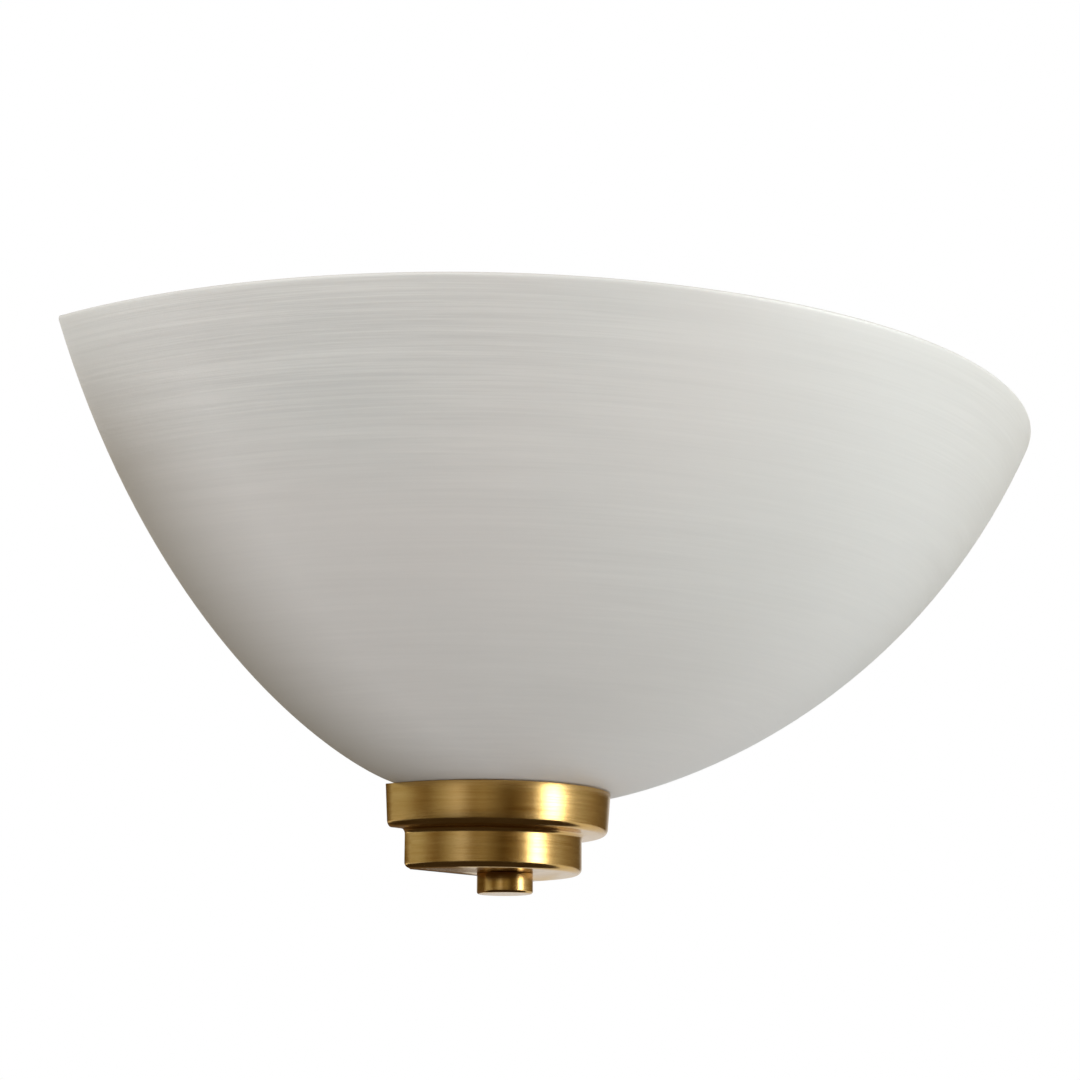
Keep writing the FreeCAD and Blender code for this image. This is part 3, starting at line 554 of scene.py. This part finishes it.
# lamp globe: one side curve from neck to crown, turned about the lamp's own axis
globeDims = {"axisY": -0.054, "axisZ": -0.006, "start": -0.02315, "neckEnd": -0.0105,
             "neckRadius": 0.01335, "widest": 0.0225, "radius": 0.02745, "crown": 0.0498,
             "circleReach": 0.5523, "neckReach": 0.002, "flareReach": 0.007, "swellReach": 0.014,
             "wall": 0.001, "smoothness": 20, "steps": 96}


def makeGlobe():
    d = globeDims
    reach = d["circleReach"] * d["radius"]
    crownReach = reach * (d["crown"] - d["widest"]) / d["radius"]
    knots = [((d["start"], d["neckRadius"]), (1, 0), d["neckReach"], d["neckReach"]),
             ((d["neckEnd"], d["neckRadius"]), (1, 0), d["neckReach"], d["flareReach"]),
             ((d["widest"], d["radius"]), (1, 0), d["swellReach"], crownReach),
             ((d["crown"], 0.0), (0, -1), reach, 0.001)]
    onAxis = Vector((0, d["axisY"], d["axisZ"]))
    globe = profile(knots, lambda place: onAxis + Vector((place[0], 0, place[1])), d["smoothness"])
    editOn(globe)
    bpy.ops.mesh.select_all(action="SELECT")
    bpy.ops.mesh.spin(steps=d["steps"], angle=math.tau, center=onAxis, axis=(1, 0, 0))
    outwards()
    editOff()
    modify(globe, "SOLIDIFY", thickness=d["wall"], offset=-1)
    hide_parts("lamp_globe")
    return finishPiece(globe, "lampGlobe", "lamp", "lamp_glass", 60)


makeShade()
print("shade made")
makeCap()
makeKnob()
print("cap and knob made")
makeGlobe()
print("globe made")


# studio: pale floor, a ring that only reflections see, soft lamps, white behind everything
studio = {"floor": -0.42, "fade": (0.5, 1.3), "ringRadius": 2.6, "ringHeight": 3.0,
          "floorRadius": 6, "paperDark": rgb(0.84, 0.84, 0.83), "paperLight": rgb(0.88, 0.88, 0.87),
          "paperBounce": rgb(0.50, 0.50, 0.50), "cardColour": rgb(1.0, 0.72, 0.45), "aim": (0, -0.06, -0.02),
          "ring": [(-180, 0.8), (-166, 0.8), (-150, 0.15), (-98, 0.12), (-88, 0.26), (-78, 0.52),
                   (-65, 0.50), (-52, 0.27), (-43, 0.19), (-30, 0.42), (-16, 0.74), (-4, 0.30), (6, 0.36),
                   (28, 0.10), (40, 0.17), (50, 0.30), (58, 1.2), (64, 7.0), (74, 7.0), (81, 1.4),
                   (92, 0.55), (117, 0.30), (141, 0.18), (155, 0.15), (168, 0.8), (180, 0.8)],
          "ambient": 0.75,
          "card": {"radius": 1.1, "height": -0.30, "ahead": 0.9, "level": 0.05},
          "flag": {"near": -0.012, "far": 1.2, "left": -0.20, "right": -0.004, "height": -0.094,
                   "level": 0.16},
          "lamps": [{"name": "keyLamp", "angle": 62, "height": 0.28, "away": 1.3, "size": 0.8,
                     "watts": 8},
                    {"name": "fillLamp", "angle": -75, "height": 0.5, "away": 1.5, "size": 1.0,
                     "watts": 12}]}


def directionAt(angle):
    # measured from the way to the camera, positive to the right of the picture
    turn = math.radians(photoView["turn"])
    toCamera = Vector((-math.sin(turn), -math.cos(turn), 0))
    right = Vector((math.cos(turn), -math.sin(turn), 0))
    return toCamera * math.cos(math.radians(angle)) + right * math.sin(math.radians(angle))


def addFloor():
    bpy.ops.mesh.primitive_circle_add(vertices=96, radius=studio["floorRadius"], fill_type="NGON",
                                      location=(0, 0, studio["floor"]))
    floor = bpy.context.object
    floor.name = "floor"
    finish = Finish("floorPaper")
    cloud = finish.noise(finish.place(), 1.5, 2)
    paper = finish.mix(cloud, studio["paperDark"], studio["paperLight"])
    bounced = finish.ray("Is Diffuse Ray")
    finish.set(Base_Color=finish.mix(bounced, paper, studio["paperBounce"]), Roughness=0.8)
    # far from the light the paper runs into plain white for the camera
    x, y = finish.axes()[:2]
    away = finish.span((x * x + y * y).maths("SQRT"), studio["fade"][0], studio["fade"][1])
    seen = away * finish.ray("Is Camera Ray")
    glow = finish.node("ShaderNodeEmission", inputs={"Color": rgb(1, 1, 1)})
    plain = Value(finish, finish.shader.outputs[0])
    blend = finish.node("ShaderNodeMixShader", inputs={0: seen, 1: plain, 2: glow})
    finish.feed(finish.output.inputs["Surface"], blend)
    floor.data.materials.append(finish.material)


def addRing():
    height = studio["ringHeight"]
    bpy.ops.mesh.primitive_cylinder_add(vertices=180, radius=studio["ringRadius"], depth=height,
                                        end_fill_type="NOTHING",
                                        location=(0, 0, studio["floor"] + height / 2))
    ring = bpy.context.object
    ring.name = "reflectionRing"
    finish = Finish("ringLight", "ShaderNodeEmission")
    x, y = finish.axes()[:2]
    toCamera = directionAt(0)
    right = directionAt(90)
    ahead = x * toCamera.x + y * toCamera.y
    aside = x * right.x + y * right.y
    share = aside.maths("ARCTAN2", ahead) / math.tau + 0.5
    most = max(level for angle, level in studio["ring"])
    stops = []
    for angle, level in studio["ring"]:
        # the dim stops are warmer than the bright ones
        warm = (1.0, min(1.0, 0.60 + 0.8 * level), min(1.0, 0.08 + 1.5 * level))
        stops.append(((angle + 180) / 360, tuple(level / most * channel for channel in warm)))
    finish.feed(finish.shader.inputs["Color"], finish.ramp(share, stops))
    finish.shader.inputs["Strength"].default_value = most
    ring.data.materials.append(finish.material)
    showInReflectionsOnly(ring)


def showInReflectionsOnly(stagePiece):
    stagePiece.visible_camera = False
    stagePiece.visible_diffuse = False
    stagePiece.visible_shadow = False
    stagePiece.visible_transmission = False


def addCards():
    # two dim cards for reflections: a round one below and in front, and a long one from under the cap back
    card = studio["card"]
    spot = directionAt(0) * card["ahead"]
    bpy.ops.mesh.primitive_circle_add(vertices=96, radius=card["radius"], fill_type="NGON",
                                      location=(spot.x, spot.y, card["height"]))
    setCard("darkCard", card["level"])
    flag = studio["flag"]
    depth = flag["far"] - flag["near"]
    width = flag["right"] - flag["left"]
    spot = directionAt(180) * (flag["near"] + depth / 2) + directionAt(90) * (flag["left"] + width / 2)
    bpy.ops.mesh.primitive_plane_add(size=1, location=(spot.x, spot.y, flag["height"]),
                                     rotation=(0, 0, -math.radians(photoView["turn"])))
    bpy.context.object.scale = (width, depth, 1)
    setCard("darkFlag", flag["level"])


def setCard(name, level):
    piece = bpy.context.object
    piece.name = name
    finish = Finish(name + "Light", "ShaderNodeEmission")
    finish.shader.inputs["Color"].default_value = studio["cardColour"]
    finish.shader.inputs["Strength"].default_value = level
    piece.data.materials.append(finish.material)
    showInReflectionsOnly(piece)


def addLamps():
    for lamp in studio["lamps"]:
        place = directionAt(lamp["angle"]) * lamp["away"] + Vector((0, 0, lamp["height"]))
        aim = Vector(studio["aim"]) - place
        turn = aim.to_track_quat("-Z", "Y").to_euler()
        bpy.ops.object.light_add(type="AREA", location=place, rotation=turn)
        light = bpy.context.object
        light.name = lamp["name"]
        light.data.shape = "SQUARE"
        light.data.size = lamp["size"]
        light.data.energy = lamp["watts"]
        light.visible_glossy = False


def setWorld():
    world = bpy.data.worlds.new("studioWorld")
    bpy.context.scene.world = world
    finish = Finish("studioWorld", "ShaderNodeBackground", world)
    # white wherever it is seen, also in metal and through glass, and a little less as light
    seen = finish.ray("Is Camera Ray").maths("MAXIMUM", finish.ray("Is Glossy Ray"))
    seen = seen.maths("MAXIMUM", finish.ray("Is Transmission Ray"))
    finish.set(Color=rgb(1, 1, 1), Strength=finish.span(seen, 0, 1, studio["ambient"], 1.0))


addFloor()
addRing()
addCards()
addLamps()
setWorld()
bpy.context.scene.view_settings.view_transform = "Standard"
print("studio set")
